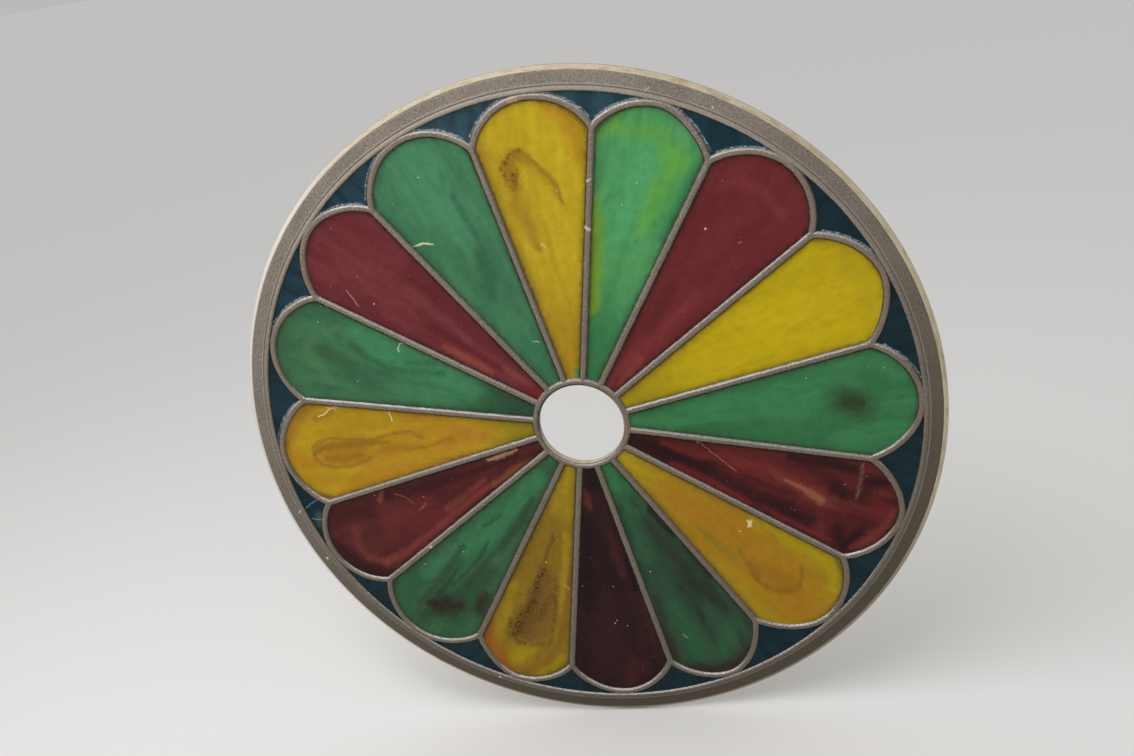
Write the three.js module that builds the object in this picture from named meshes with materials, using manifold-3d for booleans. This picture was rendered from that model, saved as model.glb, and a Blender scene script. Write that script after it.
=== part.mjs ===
// A round daisy window: a disc of cast coloured resin with the look of leaded glass.
// Sixteen round-ended petals stand about an open hub, with a dark spandrel between each two.
// Millimetres, +Z up. The front looks along -Y and the back lies flat in the plane y = 0.
// The origin is on the back of the rim, straight below the hub.

import * as THREE from 'three';
import { mergeVertices } from 'three/addons/utils/BufferGeometryUtils.js';
import Module from 'manifold-3d';

const wasm = await Module();
wasm.setup();

// ---- Driving dimensions ----

const FACE_RADIUS = 500;      // outer edge of the grey rim
const LIP_OUT = 6.5;          // how far the cream sheet stands out past the grey rim
const HUB_RADIUS = 61.5;      // the open hole
const BEAD_INSIDE = 473.2;    // inner edge of the rim's round bead
const MOUNT_INSET = 9;        // from the outer edge of the sheet in to the middle of the rim mount
const GAP = 0.3;              // clearance between touching pieces

const SHEET_THICK = 3.5;      // cream backing sheet
const FACE_HEIGHT = 7;        // rim band and panes, measured from the back
const BEAD_HEIGHT = 10.5;     // crest of the bead and of the leading
const HUB_HEIGHT = 11.5;      // crest of the ring round the hole

const LEAD_WIDTH = 10;        // one strip of leading
const HUB_RING_WIDTH = 8.5;   // the grey ring round the hole
const COLLAR_WIDTH = 1.7;     // the cream wall that lines the hole

const RIM_SIDES = 80;
const HUB_SIDES = 40;
const BOSS_SIDES = 12;
const ARCH_STEPS = 10;
const SPANDREL_RIM_STEPS = 6;

// Worked out from these.
const FLOOR_HEIGHT = SHEET_THICK + GAP;            // underside of leading and panes
const FOOT_HEIGHT = FACE_HEIGHT + 0.6;             // where the leading starts to round over
const SHEET_OUTSIDE = FACE_RADIUS + LIP_OUT;
const HUB_INSIDE = HUB_RADIUS + COLLAR_WIDTH + GAP;
const HUB_OUTSIDE = HUB_INSIDE + HUB_RING_WIDTH;
const HUB_MIDDLE = (HUB_INSIDE + HUB_OUTSIDE) / 2;
const BEAD_MIDDLE = BEAD_INSIDE + 3;
const HUB_Z = SHEET_OUTSIDE - MOUNT_INSET;

// ---- The sixteen petals, clockwise from the top ----
// Each was laid by hand. `side` is the angle of the strip on the petal's clockwise side, in
// degrees from the top, and `corner` the radius at which that strip meets the arches. `crown` is
// the radius at the top of the petal's arch, and `rise` and `fall` say how full its two shoulders
// are, in clockwise order.

const PETALS = [
  { pane: 'yellow', side: 11.8, corner: 427, crown: 469.5, rise: 1.08, fall: 1.08 },
  { pane: 'green', side: 33.1, corner: 422, crown: 470, rise: 1, fall: 0.8 },
  { pane: 'red', side: 55.5, corner: 423, crown: 471, rise: 1, fall: 1 },
  { pane: 'yellow', side: 79, corner: 418, crown: 470, rise: 0.98, fall: 0.84 },
  { pane: 'green', side: 102.8, corner: 409, crown: 472, rise: 1.04, fall: 1.04 },
  { pane: 'red', side: 125.4, corner: 424, crown: 471, rise: 0.92, fall: 1 },
  { pane: 'yellow', side: 149.1, corner: 404, crown: 469.5, rise: 0.98, fall: 1 },
  { pane: 'green', side: 170.6, corner: 421, crown: 469.5, rise: 0.95, fall: 0.98 },
  { pane: 'dark_red', side: 192, corner: 426, crown: 469, rise: 1, fall: 1 },
  { pane: 'yellow', side: 213, corner: 419, crown: 470.5, rise: 1, fall: 0.84 },
  { pane: 'green', side: 235.9, corner: 427, crown: 471, rise: 1.05, fall: 1 },
  { pane: 'red', side: 257.1, corner: 429, crown: 470.5, rise: 1.05, fall: 1.05 },
  { pane: 'yellow', side: 280.8, corner: 419, crown: 470.5, rise: 0.98, fall: 0.92 },
  { pane: 'green', side: 303.8, corner: 421, crown: 469, rise: 1, fall: 1 },
  { pane: 'red', side: 326.1, corner: 421, crown: 471.5, rise: 0.98, fall: 0.98 },
  { pane: 'green', side: 349.4, corner: 419, crown: 470.5, rise: 1.06, fall: 1.06 },
];

// ---- Finishes ----

const FINISHES = {
  cream: { color: '#d8cda0', roughness: 0.5, metalness: 0 },
  lead: { color: '#7b736a', roughness: 0.7, metalness: 0 },
  yellow: { color: '#b9a019', roughness: 0.3, metalness: 0 },
  green: { color: '#3c8255', roughness: 0.3, metalness: 0 },
  red: { color: '#692328', roughness: 0.3, metalness: 0 },
  dark_red: { color: '#32191c', roughness: 0.3, metalness: 0 },
  teal: { color: '#193746', roughness: 0.3, metalness: 0 },
};

// ---- Solids, made lying down: heights run along z and are turned to the front at the end ----

// A closed geometry as a manifold solid.
function solid(geometry) {
  geometry.deleteAttribute('normal');
  geometry.deleteAttribute('uv');
  const merged = mergeVertices(geometry, 1e-4);
  const vertProperties = new Float32Array(merged.attributes.position.array);
  const triVerts = new Uint32Array(merged.index.array);
  return new wasm.Manifold(new wasm.Mesh({ numProp: 3, vertProperties, triVerts }));
}

// A manifold solid as a geometry.
function geometryOf(made) {
  const mesh = made.getMesh();
  const geometry = new THREE.BufferGeometry();
  geometry.setAttribute('position', new THREE.BufferAttribute(mesh.vertProperties, 3));
  geometry.setIndex(new THREE.BufferAttribute(mesh.triVerts, 1));
  geometry.computeVertexNormals();
  return geometry;
}

function join(solids) {
  return solids.reduce((whole, next) => whole.add(next));
}

// A profile of [radius, height] points turned about the z axis.
function turn(profile, sides) {
  const points = profile.map(([radius, height]) => new THREE.Vector2(radius, height));
  return new THREE.LatheGeometry(points, sides).rotateX(Math.PI / 2);
}

// A ring: its profile closes on itself.
function ring(profile, sides) {
  return solid(turn([...profile, profile[0]], sides));
}

// A plain square-edged ring between two radii and two heights.
function hoop(inside, outside, from, to, sides) {
  return ring([[inside, from], [outside, from], [outside, to], [inside, to]], sides);
}

// A flat outline raised from one height to another.
function slab(outline, from, to) {
  const shape = new THREE.Shape(outline.map((point) => new THREE.Vector2(point.x, point.y)));
  const raised = new THREE.ExtrudeGeometry(shape, { depth: to - from, bevelEnabled: false });
  return solid(raised.translate(0, 0, from));
}

// A strip with the given [across, height] profile along a flat curve. The sweep holds the
// profile's first axis pointing down, so heights go in negated.
function strip(curve, profile, steps) {
  const section = new THREE.Shape(
    profile.map(([across, height]) => new THREE.Vector2(-height, across)),
  );
  return solid(new THREE.ExtrudeGeometry(section, { steps, extrudePath: curve, bevelEnabled: false }));
}

// ---- Layout in the window's own plane: x to the right, y up, the hub in the middle ----

function place(degrees, radius) {
  const angle = THREE.MathUtils.degToRad(degrees);
  return new THREE.Vector3(radius * Math.sin(angle), radius * Math.cos(angle), 0);
}

const lastPetal = PETALS.length - 1;

// The angle where petal k starts, on its anticlockwise side.
function startAngle(k) {
  return k === 0 ? PETALS[lastPetal].side - 360 : PETALS[k - 1].side;
}

function middleAngle(k) {
  return (startAngle(k) + PETALS[k].side) / 2;
}

// One half of an arch, from its corner up to the crown, where it runs level.
function shoulder(corner, crown, middle, full) {
  const outward = place(middle, 1);
  const across = place(middle + 90, 1);
  const reach = crown.clone().sub(corner);
  const rise = reach.dot(outward);
  const run = reach.dot(across);
  const low = corner.clone().addScaledVector(outward, 0.52 * full * rise);
  low.addScaledVector(across, 0.15 * run);
  const high = crown.clone().addScaledVector(across, -0.45 * full * run);
  return [corner, low, high, crown];
}

function archCurve(k) {
  const before = k === 0 ? PETALS[lastPetal] : PETALS[k - 1];
  const petal = PETALS[k];
  const middle = middleAngle(k);
  const crown = place(middle, petal.crown);
  const rising = shoulder(place(startAngle(k), before.corner), crown, middle, petal.rise);
  const falling = shoulder(place(petal.side, petal.corner), crown, middle, petal.fall);
  const path = new THREE.CurvePath();
  path.add(new THREE.CubicBezierCurve3(...rising));
  path.add(new THREE.CubicBezierCurve3(...falling.reverse()));
  return path;
}

function spokeCurve(petal) {
  return new THREE.LineCurve3(place(petal.side, HUB_MIDDLE), place(petal.side, petal.corner));
}

// ---- Leading: rim, bead, arches, straight strips and hub ring, cast as one ----

const half = LEAD_WIDTH / 2;

const LEAD_PROFILE = [
  [-half, FLOOR_HEIGHT],
  [-half, FOOT_HEIGHT],
  [-half * 0.62, BEAD_HEIGHT - 0.8],
  [0, BEAD_HEIGHT],
  [half * 0.62, BEAD_HEIGHT - 0.8],
  [half, FOOT_HEIGHT],
  [half, FLOOR_HEIGHT],
];

const BOSS_PROFILE = [
  [0, FLOOR_HEIGHT],
  [half, FLOOR_HEIGHT],
  [half, FOOT_HEIGHT],
  [half * 0.62, BEAD_HEIGHT - 0.8],
  [0, BEAD_HEIGHT],
];

// Outwards in: the sandy band, a thin raised line beside a groove, and the round bead.
const BAND_INSIDE = FACE_RADIUS - 16;
const RIM_PROFILE = [
  [BEAD_INSIDE, FLOOR_HEIGHT],
  [FACE_RADIUS - 2 * GAP, FLOOR_HEIGHT],
  [FACE_RADIUS - 2 * GAP, FACE_HEIGHT],
  [BAND_INSIDE, FACE_HEIGHT],
  [BAND_INSIDE - 1.6, FACE_HEIGHT + 1.2],
  [BAND_INSIDE - 3.4, FACE_HEIGHT + 0.5],
  [BEAD_INSIDE + 5.4, BEAD_HEIGHT - 0.7],
  [BEAD_INSIDE + 3.8, BEAD_HEIGHT],
  [BEAD_INSIDE + 2, BEAD_HEIGHT],
  [BEAD_INSIDE + 0.4, BEAD_HEIGHT - 1],
  [BEAD_INSIDE, FOOT_HEIGHT],
];

const HUB_PROFILE = [
  [HUB_INSIDE, FLOOR_HEIGHT],
  [HUB_OUTSIDE, FLOOR_HEIGHT],
  [HUB_OUTSIDE, FOOT_HEIGHT],
  [HUB_OUTSIDE - 1.6, HUB_HEIGHT - 1.2],
  [HUB_OUTSIDE - 3.4, HUB_HEIGHT],
  [HUB_INSIDE + 2, HUB_HEIGHT],
  [HUB_INSIDE + 0.4, HUB_HEIGHT - 0.8],
  [HUB_INSIDE, HUB_HEIGHT - 2],
];

// A round boss closes each joint where two arches meet a straight strip.
function boss(petal) {
  const { x, y } = place(petal.side, petal.corner);
  return solid(turn(BOSS_PROFILE, BOSS_SIDES).translate(x, y, 0));
}

function stripsWith(profile) {
  const spokes = PETALS.map((petal) => strip(spokeCurve(petal), profile, 1));
  const arches = PETALS.map((petal, k) => strip(archCurve(k), profile, ARCH_STEPS));
  return [...spokes, ...arches];
}

function leading() {
  const rings = [ring(RIM_PROFILE, RIM_SIDES), ring(HUB_PROFILE, HUB_SIDES)];
  return join([...rings, ...stripsWith(LEAD_PROFILE), ...PETALS.map(boss)]);
}

// ---- Panes: each fills its opening in the leading, with clearance all round ----

// The room that the leading takes, grown by the clearance.
function leadingRoom() {
  const from = SHEET_THICK;
  const to = BEAD_HEIGHT;
  const side = half + GAP;
  const profile = [[-side, from], [-side, to], [side, to], [side, from]];
  const hub = hoop(HUB_INSIDE - GAP, HUB_OUTSIDE + GAP, from, to, HUB_SIDES);
  const rim = hoop(BEAD_INSIDE - GAP, FACE_RADIUS, from, to, RIM_SIDES);
  return join([hub, rim, ...stripsWith(profile)]);
}

// The line through the middles of the strips round a petal.
function petalOutline(k) {
  return [
    place(PETALS[k].side, HUB_MIDDLE),
    place(startAngle(k), HUB_MIDDLE),
    ...archCurve(k).getSpacedPoints(ARCH_STEPS),
  ];
}

// The line round the spandrel on the clockwise side of petal k, out to the middle of the bead.
function spandrelOutline(k) {
  const next = k === lastPetal ? 0 : k + 1;
  const falling = archCurve(k).getSpacedPoints(ARCH_STEPS).slice(ARCH_STEPS / 2);
  const rising = archCurve(next).getSpacedPoints(ARCH_STEPS).slice(1, ARCH_STEPS / 2 + 1);
  const from = middleAngle(k);
  const to = middleAngle(next) + (next === 0 ? 360 : 0);
  const alongRim = Array.from({ length: SPANDREL_RIM_STEPS + 1 }, (_, i) => (
    place(to + ((from - to) * i) / SPANDREL_RIM_STEPS, BEAD_MIDDLE)
  ));
  return [...falling, ...rising, ...alongRim];
}

function pane(outline, room) {
  return slab(outline, FLOOR_HEIGHT, FACE_HEIGHT).subtract(room);
}

// ---- Cream backing sheet: a bevelled lip stands round the rim, and a collar lines the hole ----

const LIP_HEIGHT = FACE_HEIGHT - 0.4;
const COLLAR_HEIGHT = FACE_HEIGHT + 1.4;
const SHEET_PROFILE = [
  [HUB_RADIUS, 0],
  [SHEET_OUTSIDE, 0],
  [SHEET_OUTSIDE - 0.4, 1],
  [FACE_RADIUS + 0.4, LIP_HEIGHT],
  [FACE_RADIUS - GAP, LIP_HEIGHT],
  [FACE_RADIUS - GAP, SHEET_THICK],
  [HUB_RADIUS + COLLAR_WIDTH, SHEET_THICK],
  [HUB_RADIUS + COLLAR_WIDTH, COLLAR_HEIGHT],
  [HUB_RADIUS, COLLAR_HEIGHT],
];

// ---- The window ----

const disc = new THREE.Group();
disc.rotation.x = Math.PI / 2;
disc.position.z = HUB_Z;

function addPiece(name, made, finishName) {
  const material = new THREE.MeshStandardMaterial(FINISHES[finishName]);
  const mesh = new THREE.Mesh(geometryOf(made), material);
  mesh.name = name;
  disc.add(mesh);
}

addPiece('backing_sheet', ring(SHEET_PROFILE, RIM_SIDES), 'cream');
addPiece('leading', leading(), 'lead');

const room = leadingRoom();
PETALS.forEach((petal, k) => {
  const number = String(k + 1).padStart(2, '0');
  addPiece(`petal_${number}_${petal.pane}`, pane(petalOutline(k), room), petal.pane);
  addPiece(`spandrel_${number}`, pane(spandrelOutline(k), room), 'teal');
});

const part = new THREE.Group();
part.add(disc);

export default part;
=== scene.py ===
# %% [markdown]
# # A daisy window cast in coloured resin
# A flat disc a metre across, with sixteen round-ended petals about an open hub. A caster pours
# coloured resin between strips of grey leading on a cream sheet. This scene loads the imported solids
# as a fixed frame, and every piece made here stands exactly where its solid stands.

# %% Load the frame
import math
from collections import namedtuple

import bpy
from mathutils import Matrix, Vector
from mathutils.geometry import interpolate_bezier


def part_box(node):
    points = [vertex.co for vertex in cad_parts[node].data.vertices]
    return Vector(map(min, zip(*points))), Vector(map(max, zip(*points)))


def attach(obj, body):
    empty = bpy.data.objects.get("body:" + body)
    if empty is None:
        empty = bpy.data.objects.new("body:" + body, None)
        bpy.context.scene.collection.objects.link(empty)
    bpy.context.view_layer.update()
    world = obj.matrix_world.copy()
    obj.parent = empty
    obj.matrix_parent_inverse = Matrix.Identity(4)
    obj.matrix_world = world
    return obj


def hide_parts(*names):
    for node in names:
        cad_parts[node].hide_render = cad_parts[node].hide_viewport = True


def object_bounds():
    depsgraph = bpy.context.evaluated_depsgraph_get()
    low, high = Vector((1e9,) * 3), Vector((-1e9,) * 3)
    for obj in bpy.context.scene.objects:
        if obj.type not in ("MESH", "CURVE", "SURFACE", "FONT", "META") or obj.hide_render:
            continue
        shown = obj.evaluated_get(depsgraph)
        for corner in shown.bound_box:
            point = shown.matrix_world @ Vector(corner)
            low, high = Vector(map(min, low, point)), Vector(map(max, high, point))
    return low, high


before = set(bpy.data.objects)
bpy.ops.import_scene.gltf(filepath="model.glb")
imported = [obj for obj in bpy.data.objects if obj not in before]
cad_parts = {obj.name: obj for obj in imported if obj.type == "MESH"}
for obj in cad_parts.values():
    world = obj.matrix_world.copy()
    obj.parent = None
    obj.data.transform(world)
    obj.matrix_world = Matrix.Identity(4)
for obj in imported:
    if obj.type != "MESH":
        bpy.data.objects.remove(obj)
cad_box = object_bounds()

print("nodes in the frame:", len(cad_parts))

# %% [markdown]
# The window is drawn lying on a bench: x to the right, y up the face, and z up from the back. Sizes
# are in millimetres, as on a drawing, and MM turns them into Blender's metres. The overall sizes come
# from the solids, so the two can't drift apart.

# %% The drawing's sizes
MM = 0.001

sheet_low, sheet_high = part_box("backing_sheet")
lead_low, lead_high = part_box("leading")

SHEET_OUTSIDE = (sheet_high[0] - sheet_low[0]) / 2 / MM
HUB_Z = (sheet_high[2] + sheet_low[2]) / 2
RIM_OUTSIDE = (lead_high[0] - lead_low[0]) / 2 / MM
HUB_HEIGHT = -lead_low[1] / MM

GAP = 0.3
HUB_RADIUS = 61.5
COLLAR_WIDTH = 1.7
HUB_RING_WIDTH = 8.5
BEAD_INSIDE = 473.2
SHEET_THICK = 3.5
FLOOR = SHEET_THICK + GAP
FACE = 7.0
CREST = 10.5
HALF = 5.0

HUB_INSIDE = HUB_RADIUS + COLLAR_WIDTH + GAP
HUB_OUTSIDE = HUB_INSIDE + HUB_RING_WIDTH
HUB_MIDDLE = (HUB_INSIDE + HUB_OUTSIDE) / 2

print("sheet radius", round(SHEET_OUTSIDE, 2), "mm, hub height", round(HUB_Z, 4), "m")

# %% [markdown]
# No two petals are alike, because each was laid by hand. A row gives the glass, the angle of the
# strip on the petal's clockwise side, the radius of the corner where that strip meets the arches,
# the radius of the arch's crown, and how full the arch is where it rises and where it falls.

# %% The sixteen petals, clockwise from the top
Petal = namedtuple("Petal", "glass side corner crown rise fall")

PETALS = [Petal(*row) for row in (
    ("yellow", 11.8, 427, 469.5, 1.08, 1.08),
    ("green", 33.1, 422, 470, 1, 0.8),
    ("red", 55.5, 423, 471, 1, 1),
    ("yellow", 79, 418, 470, 0.98, 0.84),
    ("green", 102.8, 409, 472, 1.04, 1.04),
    ("red", 125.4, 424, 471, 0.92, 1),
    ("yellow", 149.1, 404, 469.5, 0.98, 1),
    ("green", 170.6, 421, 469.5, 0.95, 0.98),
    ("dark_red", 192, 426, 469, 1, 1),
    ("yellow", 213, 419, 470.5, 1, 0.84),
    ("green", 235.9, 427, 471, 1.05, 1),
    ("red", 257.1, 429, 470.5, 1.05, 1.05),
    ("yellow", 280.8, 419, 470.5, 0.98, 0.92),
    ("green", 303.8, 421, 469, 1, 1),
    ("red", 326.1, 421, 471.5, 0.98, 0.98),
    ("green", 349.4, 419, 470.5, 1.06, 1.06),
)]
COUNT = len(PETALS)

print("petals:", COUNT)

# %% [markdown]
# Every line on the bench is a chain of Bezier knots, and a knot is a point with the handle before it
# and the handle after it. A spoke is straight. An arch has three knots, and its handles are worked
# out from how full its shoulders are.

# %% The lines of the window
Knot = namedtuple("Knot", "before at after")

SHOULDER_RISE = 0.52
SHOULDER_LEAN = 0.15
CROWN_REACH = 0.45


def place(degrees, radius):
    """A point on the bench, by its angle clockwise from the top and its radius in mm."""
    angle = math.radians(degrees)
    return Vector((math.sin(angle), math.cos(angle), 0)) * radius * MM


def direction(degrees):
    return place(degrees, 1) / MM


def start_angle(k):
    return PETALS[k - 1].side - (360 if k == 0 else 0)


def middle_angle(k):
    return (start_angle(k) + PETALS[k].side) / 2


def shoulder(corner, crown, middle, full):
    """The two handles of one half of an arch, from its corner up to its level crown."""
    outward = direction(middle)
    across = direction(middle + 90)
    reach = crown - corner
    rise = reach.dot(outward)
    run = reach.dot(across)
    low = corner + outward * (SHOULDER_RISE * full * rise) + across * (SHOULDER_LEAN * run)
    high = crown - across * (CROWN_REACH * full * run)
    return low, high


def arch(k):
    """The three knots of a petal's arch: its corners, and its crown between them."""
    petal = PETALS[k]
    middle = middle_angle(k)
    left = place(start_angle(k), PETALS[k - 1].corner)
    right = place(petal.side, petal.corner)
    top = place(middle, petal.crown)
    left_low, left_high = shoulder(left, top, middle, petal.rise)
    right_low, right_high = shoulder(right, top, middle, petal.fall)
    return [Knot(left, left, left_low), Knot(left_high, top, right_high), Knot(right_low, right, right)]


def straight(start, end):
    third = (end - start) / 3
    return [Knot(start, start, start + third), Knot(end - third, end, end)]


print("the first arch's crown, in metres:", [round(part, 3) for part in arch(0)[1].at])

# %% [markdown]
# A few small helpers do the bench work. One draws a flat Bezier line through knots, one turns a line
# into a solid strip with a given section, one winds a ring by extruding a circle and scaling it, and
# one fuses, cuts or trims a solid with another. A last one stands a finished piece up in its place.

# %% Bench helpers
MERGE = 0.005


def deselect():
    bpy.ops.object.select_all(action="DESELECT")


def take(piece):
    deselect()
    piece.select_set(True)
    bpy.context.view_layer.objects.active = piece


def draw_line(name, knots, closed=False, steps=40):
    deselect()
    bpy.ops.curve.primitive_bezier_curve_add()
    line = bpy.context.object
    line.name = name
    line.data.dimensions = "2D"
    line.data.fill_mode = "NONE"
    spline = line.data.splines[0]
    spline.resolution_u = steps
    spline.bezier_points.add(len(knots) - 2)
    spline.use_cyclic_u = closed
    for stop, knot in zip(spline.bezier_points, knots):
        stop.handle_left_type = "FREE"
        stop.handle_right_type = "FREE"
        stop.co = knot.at
        stop.handle_left = knot.before
        stop.handle_right = knot.after
    return line


def close_up(piece):
    """Turn a drawn or wound piece into one closed mesh whose faces point out."""
    take(piece)
    bpy.ops.object.convert(target="MESH")
    bpy.ops.object.mode_set(mode="EDIT")
    bpy.ops.mesh.select_all(action="SELECT")
    bpy.ops.mesh.remove_doubles(threshold=MERGE * MM)
    bpy.ops.mesh.normals_make_consistent(inside=False)
    bpy.ops.object.mode_set(mode="OBJECT")
    return piece


def section(name, profile):
    """A closed flat line through [across, height] points, for a strip to follow."""
    curve = bpy.data.curves.new(name, "CURVE")
    spline = curve.splines.new("POLY")
    spline.points.add(len(profile) - 1)
    spline.use_cyclic_u = True
    for stop, (across, height) in zip(spline.points, profile):
        stop.co = (across * MM, height * MM, 0, 1)
    made = bpy.data.objects.new(name, curve)
    bpy.context.collection.objects.link(made)
    return made


def sweep(line, outline):
    line.data.bevel_mode = "OBJECT"
    line.data.bevel_object = outline
    line.data.use_fill_caps = True
    return close_up(line)


def hoop(name, profile, sides):
    """Wind a ring whose section is a closed profile of [radius, height] points."""
    deselect()
    radius, height = profile[0]
    bpy.ops.mesh.primitive_circle_add(vertices=sides, radius=radius * MM, location=(0, 0, height * MM))
    bpy.ops.object.transform_apply(location=True)
    made = bpy.context.object
    made.name = name
    bpy.ops.object.mode_set(mode="EDIT")
    bpy.ops.mesh.select_all(action="SELECT")
    for next_radius, next_height in profile[1:] + profile[:1]:
        lift = (0, 0, (next_height - height) * MM)
        bpy.ops.mesh.extrude_edges_move(TRANSFORM_OT_translate={"value": lift})
        wider = next_radius / radius
        bpy.ops.transform.resize(value=(wider, wider, 1), center_override=(0, 0, 0))
        radius, height = next_radius, next_height
    bpy.ops.object.mode_set(mode="OBJECT")
    return close_up(made)


def work(piece, tool, operation):
    """Fuse (UNION), cut (DIFFERENCE) or trim (INTERSECT) a piece with another, which stays."""
    take(piece)
    step = piece.modifiers.new("work", "BOOLEAN")
    step.operation = operation
    step.object = tool
    step.solver = "MANIFOLD"
    bpy.ops.object.modifier_apply(modifier=step.name)
    return piece


def fuse(pieces):
    """Fuse a list of solids two by two, until one is left."""
    while len(pieces) > 1:
        pairs = zip(pieces[0::2], pieces[1::2])
        left_over = pieces[len(pieces) - len(pieces) % 2:]
        fused = []
        for piece, tool in pairs:
            fused.append(work(piece, tool, "UNION"))
            bpy.data.objects.remove(tool)
        pieces = fused + left_over
    return pieces[0]


def hang(piece):
    """Stand a piece that lies on the bench up in its place, and fix that place in its mesh."""
    take(piece)
    piece.rotation_euler.x = math.pi / 2
    piece.location.z = HUB_Z
    bpy.ops.object.transform_apply(location=True, rotation=True, scale=True)
    return piece


def count(piece):
    return sum(len(face.vertices) - 2 for face in piece.data.polygons)


print("bench helpers ready")

# %% [markdown]
# The cream sheet is a thin cast plate with a bevelled lip round its edge and a short collar that
# lines the hub hole. Turned work like this is a circle, extruded and scaled along its section.

# %% The cream sheet
LIP_TOP = FACE - 0.4
COLLAR_TOP = FACE + 1.4
FACE_RADIUS = RIM_OUTSIDE + 2 * GAP
MIDWAY = 280
SHEET_SIDES = 720

SHEET_SECTION = [
    (HUB_RADIUS, 0.4),
    (HUB_RADIUS + 0.4, 0),
    (MIDWAY, 0),
    (SHEET_OUTSIDE - 0.5, 0),
    (SHEET_OUTSIDE, 0.4),
    (SHEET_OUTSIDE - 0.1, 1.0),
    (SHEET_OUTSIDE - 0.8, 2.1),
    (SHEET_OUTSIDE - 2.2, 3.6),
    (SHEET_OUTSIDE - 3.8, 5.2),
    (FACE_RADIUS + 1.4, LIP_TOP - 0.4),
    (FACE_RADIUS + 0.6, LIP_TOP),
    (FACE_RADIUS - GAP, LIP_TOP - 0.1),
    (FACE_RADIUS - GAP, SHEET_THICK),
    (MIDWAY, SHEET_THICK),
    (HUB_RADIUS + COLLAR_WIDTH, SHEET_THICK),
    (HUB_RADIUS + COLLAR_WIDTH, COLLAR_TOP - 0.4),
    (HUB_RADIUS + 1.2, COLLAR_TOP),
    (HUB_RADIUS + 0.5, COLLAR_TOP),
    (HUB_RADIUS, COLLAR_TOP - 0.5),
]

cream_sheet = hoop("cream_sheet", SHEET_SECTION, SHEET_SIDES)
print("cream sheet triangles:", count(cream_sheet))

# %% [markdown]
# The leading is grey resin made to look like lead came. Every strip has the same rounded section, so
# one section follows all thirty-two lines. The rim has a sandy band, a thin raised line, a groove
# and a round bead, and the ring round the hub is a little taller than the strips.

# %% Sections of the leading, as [across or radius, height]
LEAD_FLANK = [
    (HALF, FLOOR),
    (HALF, FACE + 0.2),
    (HALF * 0.9, FACE + 0.7),
    (HALF * 0.74, FACE + 1.7),
    (HALF * 0.56, CREST - 0.9),
    (HALF * 0.34, CREST - 0.25),
]
LEAD_SECTION = [(-across, height) for across, height in LEAD_FLANK] + [(0, CREST)] + LEAD_FLANK[::-1]

BAND_INSIDE = FACE_RADIUS - 16
RIM_SECTION = [
    (BEAD_INSIDE, FLOOR),
    (RIM_OUTSIDE, FLOOR),
    (RIM_OUTSIDE, FACE - 0.5),
    (RIM_OUTSIDE - 0.6, FACE),
    (RIM_OUTSIDE - 3, FACE + 0.1),
    (RIM_OUTSIDE - 5.5, FACE),
    (RIM_OUTSIDE - 8, FACE + 0.1),
    (RIM_OUTSIDE - 10.5, FACE),
    (RIM_OUTSIDE - 13, FACE + 0.1),
    (BAND_INSIDE, FACE + 0.2),
    (BAND_INSIDE - 0.8, FACE + 1),
    (BAND_INSIDE - 1.6, FACE + 1.2),
    (BAND_INSIDE - 2.4, FACE + 0.9),
    (BAND_INSIDE - 3.4, FACE + 0.7),
    (BEAD_INSIDE + 6.6, FACE + 1.2),
    (BEAD_INSIDE + 5.6, CREST - 1.3),
    (BEAD_INSIDE + 4.4, CREST - 0.4),
    (BEAD_INSIDE + 3, CREST),
    (BEAD_INSIDE + 1.6, CREST - 0.3),
    (BEAD_INSIDE + 0.6, CREST - 1.2),
    (BEAD_INSIDE, FACE + 1.2),
]

HUB_TOP = HUB_HEIGHT - 0.5
HUB_SECTION = [
    (HUB_INSIDE, FLOOR),
    (HUB_OUTSIDE, FLOOR),
    (HUB_OUTSIDE, FACE + 0.3),
    (HUB_OUTSIDE - 0.8, FACE + 1.1),
    (HUB_OUTSIDE - 1.8, HUB_TOP - 1.3),
    (HUB_OUTSIDE - 2.8, HUB_TOP - 0.4),
    (HUB_OUTSIDE - 4, HUB_TOP),
    (HUB_INSIDE + 3.2, HUB_TOP),
    (HUB_INSIDE + 2, HUB_TOP - 0.4),
    (HUB_INSIDE + 1, HUB_TOP - 1.4),
    (HUB_INSIDE, HUB_TOP - 2.8),
]
print("points in the sections:", len(LEAD_SECTION), len(RIM_SECTION), len(HUB_SECTION))

# %% [markdown]
# Each strip is its section swept along a spoke or an arch. A small round boss closes each joint,
# where three strips would leave a notch. Strips, bosses and rings are fused into one casting.

# %% The leading
RIM_SIDES = 1440
HUB_SIDES = 240
BOSS_SIDES = 32
BOSS_ROUND = 3.1
BOSS_TOP = CREST - 0.01


def all_lines(along_spokes, along_arches):
    """Draw the line of every strip: one spoke and one arch for each petal, in this many steps."""
    lines = []
    for k, petal in enumerate(PETALS):
        spoke = straight(place(petal.side, HUB_MIDDLE), place(petal.side, petal.corner))
        lines.append(draw_line("spoke", spoke, steps=along_spokes))
        lines.append(draw_line("arch", arch(k), steps=along_arches))
    return lines


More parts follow.
